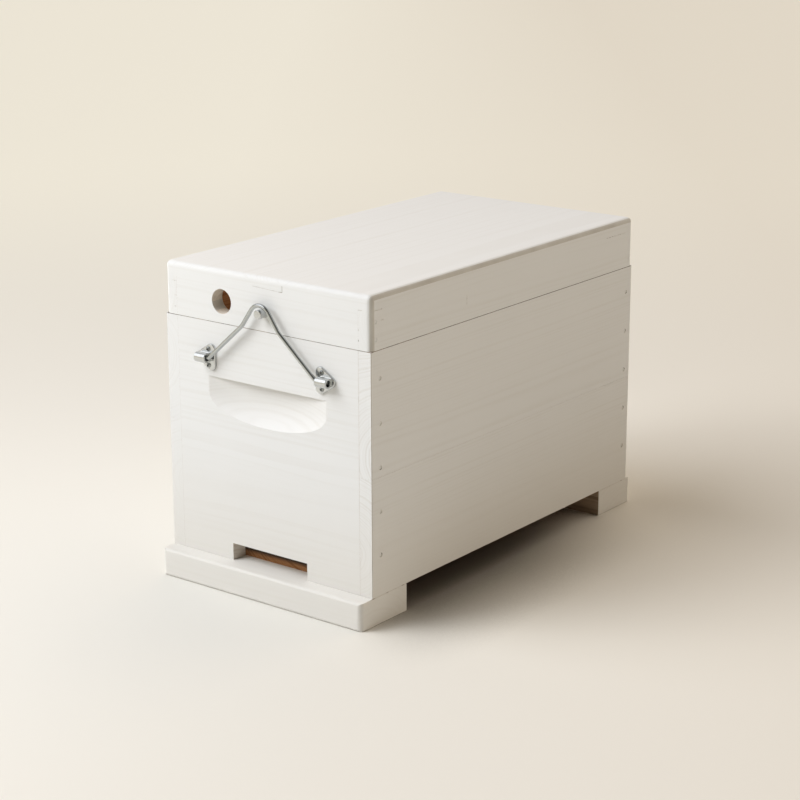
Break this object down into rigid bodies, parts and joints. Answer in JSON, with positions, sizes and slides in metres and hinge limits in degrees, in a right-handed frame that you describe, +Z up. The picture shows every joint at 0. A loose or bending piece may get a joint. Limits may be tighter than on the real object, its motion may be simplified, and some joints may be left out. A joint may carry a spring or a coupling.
{
  "type": "nuc box",
  "caption": "White-painted wooden nucleus beehive box on cross rails, with a lift-off lid held by swinging wire clips, an entrance slot, a vent hole and scooped handholds.",
  "frame": {"origin": "on the ground, in the middle of the whole outline seen from above", "axes": "+Z up; the front with the entrance faces -Y; +X to the right of the front"},
  "size_m": [0.26, 0.49, 0.328],
  "materials": {
    "painted_wood": "brushed matt white paint over softwood grain",
    "bare_wood": "bare softwood",
    "zinc_steel": "bright zinc plate",
    "galvanised_sheet": "galvanised",
    "painted_steel": "nail heads painted over"
  },
  "bodies": {
    "box": {"front_panel": "painted_wood", "rear_panel": "painted_wood", "left_lower_board": "painted_wood", "left_upper_board": "painted_wood", "right_lower_board": "painted_wood", "right_upper_board": "painted_wood", "floor_board": "bare_wood", "front_rail": "painted_wood", "rear_rail": "painted_wood", "front_frame_rest": "bare_wood", "rear_frame_rest": "bare_wood", "front_runner": "galvanised_sheet", "rear_runner": "galvanised_sheet", "side_nails": "painted_steel", "rail_screws": "zinc_steel", "rest_screws": "zinc_steel", "front_left_bracket": "zinc_steel", "front_right_bracket": "zinc_steel", "front_bracket_screws": "zinc_steel", "rear_left_bracket": "zinc_steel", "rear_right_bracket": "zinc_steel", "rear_bracket_screws": "zinc_steel"},
    "lid": {"lid_front_rail": "painted_wood", "lid_rear_rail": "painted_wood", "lid_left_rail": "painted_wood", "lid_right_rail": "painted_wood", "lid_left_plank": "painted_wood", "lid_right_plank": "painted_wood", "lid_nails": "painted_steel", "front_stud": "zinc_steel", "rear_stud": "zinc_steel"},
    "front_clip": {"front_clip": "zinc_steel"},
    "rear_clip": {"rear_clip": "zinc_steel"}
  },
  "joints": [
    {"name": "lid_lift", "type": "slide", "parent": "box", "child": "lid", "axis": [0, 0, 1], "range_m": [0, 0.06]},
    {"name": "front_clip_swing", "type": "hinge", "parent": "box", "child": "front_clip", "pos_m": [0, -0.234, 0.2385], "axis": [1, 0, 0], "range_deg": [0, 180]},
    {"name": "rear_clip_swing", "type": "hinge", "parent": "box", "child": "rear_clip", "pos_m": [0, 0.24, 0.2385], "axis": [-1, 0, 0], "range_deg": [0, 180]}
  ],
  "couplings": [
    {"joint": "front_clip_swing", "follows": "lid_lift", "rad_per_m": 52.3},
    {"joint": "rear_clip_swing", "follows": "lid_lift", "rad_per_m": 52.3}
  ]
}
